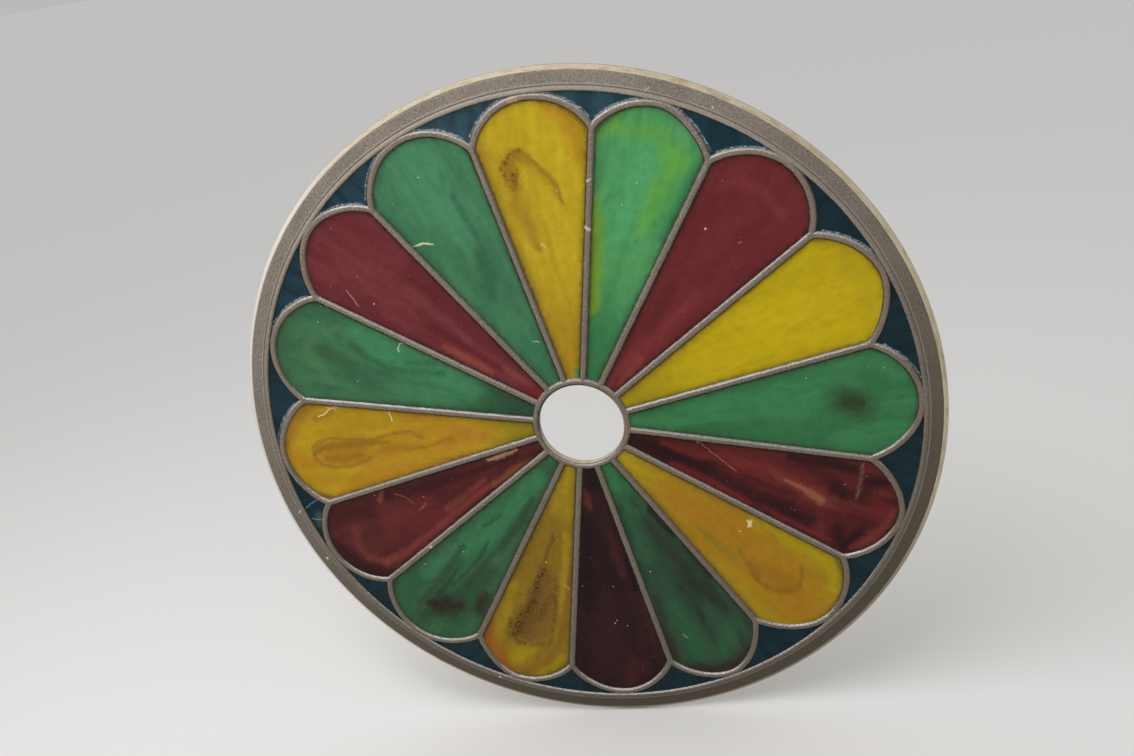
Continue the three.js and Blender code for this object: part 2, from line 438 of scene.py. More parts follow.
def boss(petal):
    """A round button with a rounded top, where a spoke meets two arches."""
    deselect()
    height = CREST - FLOOR
    middle = place(petal.side, petal.corner) + Vector((0, 0, (FLOOR + height / 2) * MM))
    bpy.ops.mesh.primitive_cylinder_add(vertices=BOSS_SIDES, radius=HALF * MM, depth=height * MM,
                                        location=middle)
    made = bpy.context.object
    bpy.ops.object.transform_apply(location=True)
    bpy.ops.object.mode_set(mode="EDIT")
    bpy.ops.mesh.select_all(action="DESELECT")
    bpy.ops.object.mode_set(mode="OBJECT")
    for edge in made.data.edges:
        edge.select = all(made.data.vertices[v].co.z > BOSS_TOP * MM for v in edge.vertices)
    bpy.ops.object.mode_set(mode="EDIT")
    bpy.ops.mesh.bevel(offset=BOSS_ROUND * MM, segments=4)
    bpy.ops.object.mode_set(mode="OBJECT")
    return made


lead_outline = section("lead_section", LEAD_SECTION)
strips = [sweep(line, lead_outline) for line in all_lines(along_spokes=110, along_arches=36)]
rings = [hoop("rim", RIM_SECTION, RIM_SIDES), hoop("hub_ring", HUB_SECTION, HUB_SIDES)]
lead_lines = fuse(rings + strips + [boss(petal) for petal in PETALS])
lead_lines.name = "lead_lines"
print("leading triangles:", count(lead_lines))

# %% [markdown]
# Resin wets the leading and creeps up it, so each pane has a thin hollow edge that catches the
# light. All the panes are made at once: a slab is poured with wet edges along every strip, then the
# leading's room is cut out of it, and each pane is trimmed from what is left, like a biscuit.

# %% The bed of coloured resin
SIDE = HALF + GAP
WET = 2.4
CREEP = 0.9
WET_CURVE = [(0, 1), (0.14, 0.62), (0.34, 0.3), (0.62, 0.1), (1, 0)]
HUB_EDGE = HUB_OUTSIDE + GAP
RIM_EDGE = BEAD_INSIDE - GAP
POUR_INSIDE = 60
POUR_OUTSIDE = 486
ROOM_INSIDE = 50
ROOM_OUTSIDE = 495
ROOM_TOP = 20
BED_STEPS = {"along_spokes": 60, "along_arches": 24}


def wet_section(near, away):
    """The hollow edge from where it meets the leading (near) to where it runs out (near + away)."""
    return [(near + away * out, FACE + CREEP * up) for out, up in WET_CURVE]


def ring_between(name, inside, outside, low, high, sides):
    return hoop(name, [(inside, low), (outside, low), (outside, high), (inside, high)], sides)


def ring_wet(name, start, near, away, sides):
    """A ring of resin from the start radius, under the leading, to its wet edge on the pane."""
    edge = wet_section(near, away)
    return hoop(name, [(start, FLOOR), (start, FACE + CREEP), *edge, (near + away, FLOOR)], sides)


right_edge = wet_section(SIDE, WET)
left_edge = [(-across, height) for across, height in reversed(right_edge)]
wet_outline = section("wet_section", left_edge + right_edge + [(SIDE + WET, FLOOR), (-SIDE - WET, FLOOR)])
room_outline = section("room_section", [(-SIDE, 0), (-SIDE, ROOM_TOP), (SIDE, ROOM_TOP), (SIDE, 0)])

hub_wet = ring_wet("hub_wet", POUR_INSIDE, HUB_EDGE, WET, HUB_SIDES)
rim_wet = ring_wet("rim_wet", POUR_OUTSIDE, RIM_EDGE, -WET, SHEET_SIDES)
slab = ring_between("slab", POUR_INSIDE, POUR_OUTSIDE, FLOOR, FACE, HUB_SIDES)
bed = fuse([slab, hub_wet, rim_wet] + [sweep(line, wet_outline) for line in all_lines(**BED_STEPS)])

hub_room = ring_between("hub_room", ROOM_INSIDE, HUB_EDGE, 0, ROOM_TOP, HUB_SIDES)
rim_room = ring_between("rim_room", RIM_EDGE, ROOM_OUTSIDE, 0, ROOM_TOP, SHEET_SIDES)
room = fuse([hub_room, rim_room] + [sweep(line, room_outline) for line in all_lines(**BED_STEPS)])
work(bed, room, "DIFFERENCE")
print("bed triangles:", count(bed))

# %% [markdown]
# A pane's cutter is a closed line made into a thick plate. A petal's line runs up one spoke, over its
# arch and down the next spoke. The line of a small outer pane, a spandrel, runs from crown to crown
# of two arches and back along the rim. What the plate and the bed share is the pane.

# %% Trim the panes from the bed
TRIM_STEPS = 8
MEETS = 0.01


def ring_arc(start, end, radius):
    """Two knots of a round stretch about the hub, short enough for one Bezier curve."""
    reach = math.radians(end - start) * radius * MM / 3
    first = place(start, radius)
    last = place(end, radius)
    after_first = first + direction(start + 90) * reach
    before_last = last - direction(end + 90) * reach
    return [Knot(first, first, after_first), Knot(before_last, last, last)]


def joined(*stretches):
    """Chain stretches of knots end to end into a closed line."""
    knots = []
    for stretch in stretches:
        if knots and (knots[-1].at - stretch[0].at).length < MEETS * MM:
            met = knots.pop()
            stretch = [Knot(met.before, met.at, stretch[0].after)] + stretch[1:]
        knots += stretch
    last = knots.pop()
    knots[0] = Knot(last.before, knots[0].at, knots[0].after)
    return knots


def petal_line(k):
    start = start_angle(k)
    side = PETALS[k].side
    left = place(start, PETALS[k - 1].corner)
    right = place(side, PETALS[k].corner)
    return joined(
        straight(place(start, HUB_MIDDLE), left),
        arch(k),
        straight(right, place(side, HUB_MIDDLE)),
        ring_arc(side, start, HUB_MIDDLE),
    )


def spandrel_line(k):
    follower = (k + 1) % COUNT
    start = middle_angle(k)
    end = middle_angle(follower) + (360 if follower == 0 else 0)
    middle = BEAD_INSIDE + HALF / 2
    return joined(
        arch(k)[1:],
        arch(follower)[:2],
        straight(place(end, PETALS[follower].crown), place(end, middle)),
        ring_arc(end, start, middle),
        straight(place(start, middle), place(start, PETALS[k].crown)),
    )


def trim(name, knots):
    cutter = draw_line(name, knots, closed=True, steps=TRIM_STEPS)
    cutter.data.fill_mode = "BOTH"
    cutter.data.extrude = ROOM_TOP * MM
    close_up(cutter)
    return work(cutter, bed, "INTERSECT")


petals = [trim(f"petal_pane_{k + 1:02d}", petal_line(k)) for k in range(COUNT)]
spandrels = [trim(f"spandrel_pane_{k + 1:02d}", spandrel_line(k)) for k in range(COUNT)]
for tool in (bed, room, lead_outline, wet_outline, room_outline):
    bpy.data.objects.remove(tool)
print("petal triangles:", [count(pane) for pane in petals])
print("spandrel triangles:", [count(pane) for pane in spandrels])

# %% [markdown]
# Hand-pressed strips are never dead even. A shallow noise shifts the leading's surface by about a
# quarter of a millimetre, which breaks up the light along it, and a finer one gives it a sandy bite.
# Then every piece is stood up in its place and shaded.

# %% Wear the leading and stand everything up
def roughen(piece, name, grain, depth):
    cloud = bpy.data.textures.new(name, "CLOUDS")
    cloud.noise_scale = grain * MM
    cloud.noise_depth = 2
    take(piece)
    step = piece.modifiers.new(name, "DISPLACE")
    step.texture = cloud
    step.texture_coords = "LOCAL"
    step.mid_level = 0.5
    step.strength = depth * MM
    bpy.ops.object.modifier_apply(modifier=step.name)


roughen(lead_lines, "hand_pressed", grain=7, depth=0.9)
roughen(lead_lines, "sandy", grain=2.2, depth=0.5)

CAST_CREASE = 40
PANE_CREASE = 12
castings = [cream_sheet, lead_lines]
for piece in castings + petals + spandrels:
    hang(piece)
    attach(piece, "root")
    crease = CAST_CREASE if piece in castings else PANE_CREASE
    bpy.ops.object.shade_smooth_by_angle(angle=math.radians(crease))

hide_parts("backing_sheet")
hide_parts("leading")
for number, (pane, petal) in enumerate(zip(petals, PETALS), 1):
    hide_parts(f"petal_{number:02d}_{petal.glass}")
for number, pane in enumerate(spandrels, 1):
    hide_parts(f"spandrel_{number:02d}")
print("pieces:", len(castings + petals + spandrels))

# %% [markdown]
# Colours are given as sRGB hex and turned to the linear values that shaders use. One
# function adds a node and gives back its first output. Its inputs come in the order of the node's
# panel, or by name with a capital, and a name in small letters is one of the node's own settings.

# %% Material helpers
def colour(code, alpha=1.0):
    parts = [int(code[i:i + 2], 16) / 255 for i in (1, 3, 5)]
    linear = [p / 12.92 if p <= 0.04045 else ((p + 0.055) / 1.055) ** 2.4 for p in parts]
    return (*linear, alpha)


def fill(tree, socket, value):
    """Set a socket to a number or a hex colour, or link another node's output to it."""
    if isinstance(value, bpy.types.NodeSocket):
        tree.links.new(value, socket)
    else:
        socket.default_value = colour(value) if isinstance(value, str) else value


def add(tree, kind, *inputs, **named):
    """Add a node, set or link its inputs, and give back its first output."""
    made = tree.nodes.new("ShaderNode" + kind)
    for name, value in named.items():
        if name.islower():
            setattr(made, name, value)
    shown = [socket for socket in made.inputs if socket.enabled]
    for socket, value in zip(shown, inputs):
        fill(tree, socket, value)
    for name, value in named.items():
        if not name.islower():
            fill(tree, made.inputs[name], value)
    return next(socket for socket in made.outputs if socket.enabled)


def share(tree, *parts):
    """How strongly a finish shows: its parts, multiplied. A part is a number, an output, or a ramp
    with soft ends, given as (value, from, to) and, unless they are 0 and 1, what each end gives."""
    whole = None
    for part in parts:
        if isinstance(part, tuple):
            part = add(tree, "MapRange", *part, interpolation_type="SMOOTHSTEP")
        whole = part if whole is None else add(tree, "Math", whole, part, operation="MULTIPLY")
    return whole


def layer(tree, below, above, *parts):
    """Lay one colour over another, as strongly as the parts say."""
    return add(tree, "Mix", share(tree, *parts), below, above, data_type="RGBA")


def start_finish(name):
    """A new material with its tree and the surface's own coordinates."""
    made = bpy.data.materials.new(name)
    made.use_nodes = True
    tree = made.node_tree
    return made, tree, add(tree, "TexCoord").node.outputs["Object"]


def settle(made, **given):
    """Fill the main shader's sockets, whose names are written with _ for a space."""
    shader = made.node_tree.nodes["Principled BSDF"]
    for name, value in given.items():
        fill(made.node_tree, shader.inputs[name.replace("_", " ")], value)
    return made


def dress(piece, material):
    piece.data.materials.clear()
    piece.data.materials.append(material)


print("a mid grey in linear light:", round(colour("#808080")[0], 3))

# %% [markdown]
# Each pane's pattern has its own frame: u runs out from the hub along the pane's middle line and v
# runs clockwise across it, both in millimetres. The frame drops the depth, so a pattern goes
# straight through the pane as colour does in cast resin.

# %% A pane's own frame
NO_DEPTH = 1000


def pane_frame(tree, here, angle):
    """Object coordinates as (u, 0, -v) in millimetres, for the clockwise angle of the middle line."""
    return add(tree, "Mapping", here, (0, 0, HUB_Z), (0, math.radians(angle - 90), 0),
               (MM, NO_DEPTH, MM), vector_type="TEXTURE")


def bent(tree, at, grain, shift):
    """Coordinates pushed about by noise whose blobs are one grain across, so that a pattern flows."""
    swirl = add(tree, "TexNoise", at, 1 / grain, 3).node.outputs["Color"]
    centred = add(tree, "VectorMath", swirl, (0.5, 0.5, 0.5), operation="SUBTRACT")
    push = add(tree, "VectorMath", centred, (2 * shift, 0, 2 * shift), operation="MULTIPLY")
    return add(tree, "VectorMath", at, push, operation="ADD")


def streaks(tree, at, long, wide, seed):
    """Noise drawn out along u, and shifted by the seed so that no two panes are alike."""
    drawn = add(tree, "Mapping", at, Location=(seed * 7.3, 0, seed * 3.1), Scale=(1 / long, 1, 1 / wide))
    return add(tree, "TexNoise", drawn, 1, 3)


print("pane frame ready")

# %% [markdown]
# A stain or wisp is a brush stroke: a path of (u, v, radius) stops. One node group measures how far
# a point is from one stretch of the path, in radii, and a stroke is the nearest of its stretches. A
# single stop makes a speck.

# %% A brush stroke as a node group
def make_stretch():
    group = bpy.data.node_groups.new("stroke_stretch", "ShaderNodeTree")
    for name, kind in (("At", "Vector"), ("From", "Vector"), ("To", "Vector"),
                       ("From radius", "Float"), ("To radius", "Float")):
        group.interface.new_socket(name, in_out="INPUT", socket_type="NodeSocket" + kind)
    group.interface.new_socket("Reach", in_out="OUTPUT", socket_type="NodeSocketFloat")
    given = group.nodes.new("NodeGroupInput").outputs
    given_back = group.nodes.new("NodeGroupOutput").inputs
    away = add(group, "VectorMath", given["At"], given["From"], operation="SUBTRACT")
    line = add(group, "VectorMath", given["To"], given["From"], operation="SUBTRACT")
    shadow = add(group, "VectorMath", away, line, operation="DOT_PRODUCT")
    length = add(group, "VectorMath", line, line, operation="DOT_PRODUCT")
    part = add(group, "Math", shadow, length, operation="DIVIDE", use_clamp=True)
    foot = add(group, "VectorMath", line, part, operation="SCALE")
    gap = add(group, "VectorMath", away, foot, operation="DISTANCE")
    radius = add(group, "MapRange", part, 0, 1, given["From radius"], given["To radius"])
    fill(group, given_back["Reach"], add(group, "Math", gap, radius, operation="DIVIDE"))
    return group


STRETCH = make_stretch()


def stroke(tree, at, path, soft, ragged=None):
    """1 on the path, falling softly to 0 about one radius away, where ragged frays its edge."""
    reach = None
    for (u, v, radius), (to_u, to_v, to_radius) in zip(path, path[1:] or path):
        one = add(tree, "Group", at, (u, 0, -v), (to_u, 0, -to_v), radius, to_radius, node_tree=STRETCH)
        reach = one if reach is None else add(tree, "Math", reach, one, operation="MINIMUM")
    if ragged is not None:
        reach = add(tree, "Math", reach, ragged, operation="ADD")
    return share(tree, (reach, 1 - soft, 1 + soft, 1, 0))


print("stroke group nodes:", len(STRETCH.nodes))

# %% [markdown]
# The panes are polyester resin, coloured through and poured by hand. It was stirred as it set, so
# its tones run lengthwise, and pigment sank or floated in patches. It is darker next to the leading,
# partly because it is thick there and partly as painted shade from the strips, so a pane's pattern
# has to know how far that is: from the two straight sides, and from an oval that stands for the arch.

# %% How far in a point is from the leading
ARCH_STARTS = 396
ARCH_NARROWER = 4


def from_leading(tree, at, k):
    """How far in a point of petal k is from the edge of its leading, in millimetres."""
    petal = PETALS[k]
    half_angle = math.radians((petal.side - start_angle(k)) / 2)
    arch_long = petal.crown - SIDE - ARCH_STARTS
    arch_wide = petal.corner * math.sin(half_angle) - ARCH_NARROWER
    off_side = (math.sin(half_angle), 0, -math.cos(half_angle))
    folded = add(tree, "VectorMath", at, operation="ABSOLUTE")
    from_strip = add(tree, "VectorMath", folded, off_side, operation="DOT_PRODUCT")
    from_sides = add(tree, "Math", from_strip, SIDE, operation="SUBTRACT")
    past = add(tree, "VectorMath", folded, (ARCH_STARTS, 0, 0), operation="SUBTRACT")
    past = add(tree, "VectorMath", past, (0, 0, 0), operation="MAXIMUM")
    on_oval = add(tree, "VectorMath", past, (arch_long, 1, arch_wide), operation="DIVIDE")
    ring = add(tree, "VectorMath", on_oval, operation="LENGTH")
    from_arch = share(tree, add(tree, "Math", 1, ring, operation="SUBTRACT"), arch_long)
    return add(tree, "Math", from_sides, from_arch, operation="MINIMUM")


print("straight sides end", ARCH_STARTS, "mm from the hub's centre")

# %% [markdown]
# Cast resin is smooth and a little wavy, and its gloss has dulled under fine dust. Brush strokes lay
# the stains over its two streaky tones. A mark is a colour, a strength, a softness and a path, and a
# clotted one breaks up into curds. Wide strokes drift with the slow swirls of the pour, and all but
# the finest fray at their edges. A few pale specks show, one to a cell of the dust at most. Curds,
# clouds, waves, cells and edges are given by their size in millimetres.

# %% The coloured resin
CURD = 4.5
CLOUD = 14
WAVE = 30
DUST_CELL = 9
THICK_SHADED_EDGE = 13
DARK_SHADED_EDGE = 4.5

DRIFTS_FROM = 9
FRAYS_FROM = 2.4
HARD = 0.1


def resin(name, angle, tones, marks, edge, seed, k=None, dust=0.45):
    made, tree, here = start_finish(name)
    at = pane_frame(tree, here, angle)
    flowing = bent(tree, at, grain=34, shift=9)
    crisp = bent(tree, at, grain=9, shift=3)
    tone = streaks(tree, flowing, long=130, wide=22, seed=seed)
    smoke = streaks(tree, flowing, long=30, wide=8, seed=seed + 5)
    curds = add(tree, "TexNoise", crisp, 1 / CURD, 3)
    cloudy = add(tree, "TexNoise", at, 1 / CLOUD, 4)
    wave = add(tree, "TexNoise", at, 1 / WAVE, 2)

    base = layer(tree, tones[0], tones[1], (tone, 0.38, 0.62))
    rough_edge = add(tree, "Math", smoke, curds, operation="ADD")
    frayed = add(tree, "MapRange", rough_edge, 0.7, 1.3, 0.4, -0.4)
    clotted = share(tree, (curds, 0.42, 0.58, 0.2, 1))
    for code, strength, soft, path, *kind in marks:
        widest = max(radius for u, v, radius in path)
        fringe = frayed if widest > FRAYS_FROM and soft > HARD else None
        mask = stroke(tree, flowing if widest > DRIFTS_FROM else crisp, path, soft, fringe)
        parts = [mask, clotted, strength] if kind == ["clotted"] else [mask, strength]
        base = layer(tree, base, code, *parts)

    # Darker next to the leading: thicker resin, and painted shade from the strips.
    if k is not None:
        inward = from_leading(tree, crisp, k)
        base = layer(tree, base, edge, (inward, 0, THICK_SHADED_EDGE, 0.28, 0))
        base = layer(tree, base, edge, (inward, 0, DARK_SHADED_EDGE, 0.55, 0))
    murk = add(tree, "Math", cloudy, smoke, operation="ADD")
    shade = share(tree, (murk, 0.75, 1.25, 0.87, 0.99))
    base = add(tree, "VectorMath", base, shade, operation="SCALE")

    cells = add(tree, "TexVoronoi", at, 1 / DUST_CELL).node.outputs
    lucky = add(tree, "SeparateColor", cells["Color"])
    base = layer(tree, base, "#c4c2ae", (cells["Distance"], 0.05, 0.11, 0.5, 0), (lucky, 1 - dust, 1.02))
    ripple = add(tree, "Bump", Height=wave, Strength=0.4, Distance=MM)
    return settle(made, Base_Color=base, Roughness=share(tree, (cloudy, 0.3, 0.75, 0.25, 0.42)),
                  IOR=1.5, Specular_IOR_Level=0.12, Normal=ripple)


# A petal's edge colour is its darker tone next to the leading: thicker resin and painted shade.
def dress_petals(family, edge, marks, tones):
    for number in marks:
        k = number - 1
        name = f"cast_{family}_resin_{number}"
        made = resin(name, middle_angle(k), tones[number], marks[number], edge, number, k)
        dress(petals[k], made)
    print(family, "panes:", list(marks))


print("resin ready")

# %% [markdown]
# Yellow panes are a dense chrome yellow that turns orange and brown where pigment sank. Most carry
# one long hooked stain, left by the stirring stick.

# %% Yellow panes
YELLOW_TONES = {
    1: ("#c0a41f", "#caae24"),
    4: ("#bfa60e", "#c7ae0c"),
    7: ("#a27c15", "#aa8517"),
    10: ("#8a6d18", "#95781b"),
    13: ("#b58f19", "#c09b1b"),
}
YELLOW_MARKS = {
    1: [
        ("#a8821c", 0.8, 0.95, [(40, 0, 30), (120, -4, 70)]),
        ("#9c7c24", 0.6, 0.95, [(200, -36, 12), (400, -74, 16)]),
        ("#b5821e", 0.7, 0.95, [(380, 66, 12), (440, 52, 14), (458, 28, 9)]),
        ("#ad9122", 0.6, 0.9, [(175, 14, 3), (255, 2, 4), (300, 0, 3)]),
        ("#9c7424", 0.65, 0.9, [(262, -12, 4), (300, -24, 9), (345, -33, 11), (380, -35, 11)]),
        ("#93661f", 0.6, 0.95, [(360, -34, 9), (386, -36, 12), (398, -22, 9)]),
        ("#98701f", 0.45, 0.95, [(398, -22, 7), (385, -8, 7), (370, 4, 7), (352, 20, 6), (322, 28, 4)]),
        ("#8c5f1e", 0.55, 0.9, [(402, -18, 2.5), (388, -4, 2), (366, 12, 2), (350, 24, 2.5), (326, 28, 2)]),
        ("#a67e22", 0.6, 0.8, [(396, -14, 3), (380, 2, 3), (358, 22, 3)]),
        ("#6e3a18", 0.6, 0.9, [(366, -42, 4), (380, -46, 4), (392, -36, 4), (399, -26, 3),
                              (403, -16, 2)], "clotted"),
        ("#6e3a18", 0.55, 0.9, [(352, -34, 3), (366, -30, 4), (376, -24, 3)], "clotted"),
        ("#643214", 0.8, 0.6, [(371, -32, 2.2)]),
        ("#643214", 0.8, 0.6, [(386, -40, 1.8)]),
        ("#4a9a50", 0.95, 0.5, [(72, 8, 5), (84, 9, 4)]),
        ("#d9c58a", 0.8, 0.6, [(268, -6, 1.4), (272, -10, 1.4)]),
        ("#d9c58a", 0.8, 0.6, [(287, 17, 1.2)]),
        ("#d9c58a", 0.7, 0.6, [(342, 24, 1.2)]),
        ("#d9c58a", 0.7, 0.6, [(225, 34, 1.1)]),
    ],
    4: [
        ("#a48f14", 0.85, 0.95, [(40, 0, 30), (90, 0, 65)]),
        ("#b09810", 0.5, 0.8, [(190, 24, 1.5), (290, 38, 1.5)]),
        ("#b59c12", 0.5, 0.95, [(430, -60, 14), (452, -10, 10), (430, 60, 14)]),
        ("#d6ba1e", 0.3, 0.95, [(300, -10, 16), (400, 4, 20)]),
    ],
    7: [
        ("#ab781a", 0.8, 0.95, [(180, 0, 22), (300, -4, 34), (395, 0, 34)]),
        ("#b69e18", 0.9, 0.95, [(40, 0, 20), (70, 0, 50)]),
        ("#b09a0e", 0.75, 0.95, [(280, -50, 9), (420, -72, 18), (445, -40, 12)]),
        ("#a8900f", 0.6, 0.95, [(300, 48, 7), (425, 66, 12)]),
        ("#a4701a", 0.6, 0.95, [(420, 6, 14), (438, 20, 14)]),
        ("#8a7420", 0.7, 0.9, [(232, 17, 5), (268, 20, 7), (305, 20, 5)]),
        ("#8a6a20", 0.6, 0.9, [(300, 6, 4), (322, 14, 5), (350, 22, 5)]),
        ("#936417", 0.6, 0.95, [(330, 14, 8), (360, 6, 15), (388, 2, 15)]),
        ("#80581a", 0.55, 0.9, [(384, -33, 2.5), (398, -20, 3), (404, -3, 4), (397, 14, 4.5),
                               (380, 24, 4.5), (362, 28, 3.5), (340, 25, 2.5)]),
        ("#e6d09a", 0.95, 0.5, [(278, -40, 2.2), (285, -36, 2.2)]),
        ("#e6d09a", 0.9, 0.5, [(281, -44, 1.4), (283, -32, 1.2)]),
        ("#e6d09a", 0.85, 0.6, [(280, -18, 1.5)]),
    ],
    10: [
        ("#ab9118", 0.95, 0.95, [(40, 0, 20), (80, 0, 52)]),
        ("#a38a1a", 0.6, 0.9, [(120, -10, 10), (160, -8, 14)]),
        ("#86661c", 0.6, 0.8, [(175, 0, 18), (260, 8, 24)]),
        ("#a98c14", 0.7, 0.8, [(190, -20, 6), (260, -33, 7), (330, -42, 6)]),
        ("#735420", 0.85, 0.8, [(258, 2, 9), (290, -4, 17), (345, -6, 23), (378, 2, 24)]),
        ("#7f5d22", 0.6, 0.8, [(285, -18, 7), (340, -22, 10), (380, -16, 9)]),
        ("#5e3e1c", 0.6, 0.9, [(305, 8, 10), (350, 14, 12), (382, 16, 12)]),
        ("#ab9010", 0.8, 0.9, [(416, -5, 12), (432, 10, 14)]),
        ("#a5880e", 0.7, 0.9, [(300, 42, 7), (400, 46, 8)]),
        ("#a08c0e", 0.8, 0.95, [(418, -60, 14), (450, -32, 12)]),
        ("#9c551a", 0.8, 0.95, [(385, 74, 12), (440, 50, 14), (462, 20, 10)]),
        ("#8a611b", 0.8, 0.9, [(240, -38, 4), (380, -50, 5), (425, -40, 7), (456, -12, 8)]),
        ("#42280f", 0.9, 0.9, [(262, 3, 4), (285, 7, 4), (300, 8, 4)], "clotted"),
        ("#42280f", 0.85, 0.9, [(322, 6, 5), (345, 10, 5)], "clotted"),
        ("#42280f", 0.85, 0.9, [(356, 18, 6), (376, 20, 6), (392, 22, 4)], "clotted"),
        ("#4a2d12", 0.8, 0.8, [(366, 34, 4), (384, 34, 3)], "clotted"),
        ("#5a3b16", 0.7, 0.95, [(392, -34, 3), (403, -8, 4), (404, 14, 4), (392, 34, 3)], "clotted"),
        ("#5a3b16", 0.6, 0.95, [(258, -18, 3), (325, -30, 3), (388, -36, 3)], "clotted"),
        ("#543614", 0.6, 0.9, [(300, -20, 5), (350, -8, 6)], "clotted"),
        ("#6e531b", 0.85, 0.7, [(192, 2, 2), (206, 0, 3), (225, 4, 3), (246, 4, 3)]),
        ("#f0b258", 0.9, 0.6, [(245, 2, 1.4)]),
        ("#d8b456", 0.7, 0.6, [(202, -6, 1.2)]),
        ("#c4a654", 0.8, 0.7, [(283, -52, 0.9), (276, -33, 0.9)]),
    ],
    13: [
        ("#8f8214", 0.95, 0.95, [(40, 0, 20), (75, 0, 50)]),
        ("#b57d25", 0.7, 0.95, [(140, -2, 10), (180, 4, 14), (205, -8, 10)]),
        ("#b97c20", 0.45, 0.04, [(230, -14, 62), (357, -118, 62)]),
        ("#b9791a", 0.6, 0.95, [(440, -24, 14), (458, 4, 12)]),
        ("#a06a1e", 0.7, 0.95, [(405, 76, 10), (442, 50, 12), (462, 14, 6)]),
        ("#a97420", 0.6, 0.8, [(350, -6, 22), (398, -5, 20)]),
        ("#956620", 0.6, 0.9, [(332, -20, 2.5), (360, -29, 3), (390, -30, 3), (411, -24, 3),
                               (421, -10, 3.5), (419, 6, 3), (408, 16, 3), (388, 20, 3), (322, 10, 2.5),
                               (285, 17, 2.5), (258, 17, 2.5), (243, 4, 2.5)]),
        ("#8e5c1e", 0.55, 0.95, [(345, -12, 4), (375, -17, 6), (402, -13, 4)]),
        ("#885a1c", 0.6, 0.95, [(300, 4, 3), (350, 6, 5), (400, 6, 5), (414, 0, 3)]),
        ("#98701f", 0.5, 0.95, [(245, -8, 3), (285, -6, 6), (312, -8, 5)]),
        ("#8f701c", 0.6, 0.9, [(197, 0, 4), (212, -3, 3), (240, -12, 2), (275, -13, 2)]),
        ("#42240f", 0.9, 0.5, [(420, -4, 1.6)]),
        ("#9c7220", 0.7, 0.8, [(372, 62, 4), (402, 54, 5)]),
        ("#ecdca0", 0.95, 0.5, [(283, 38, 1), (284, 56, 1)]),
        ("#ecdca0", 0.95, 0.5, [(361, 70, 1.3), (372, 69, 1), (386, 60, 1), (397, 57, 1)]),
        ("#e2cc8c", 0.8, 0.5, [(366, 66, 0.8), (380, 71, 0.8)]),
    ],
}
dress_petals("yellow", "#4a3a16", YELLOW_MARKS, YELLOW_TONES)

# %% [markdown]
# Green panes run from a bright mint to bottle green, with brown smoke where another colour ran in.

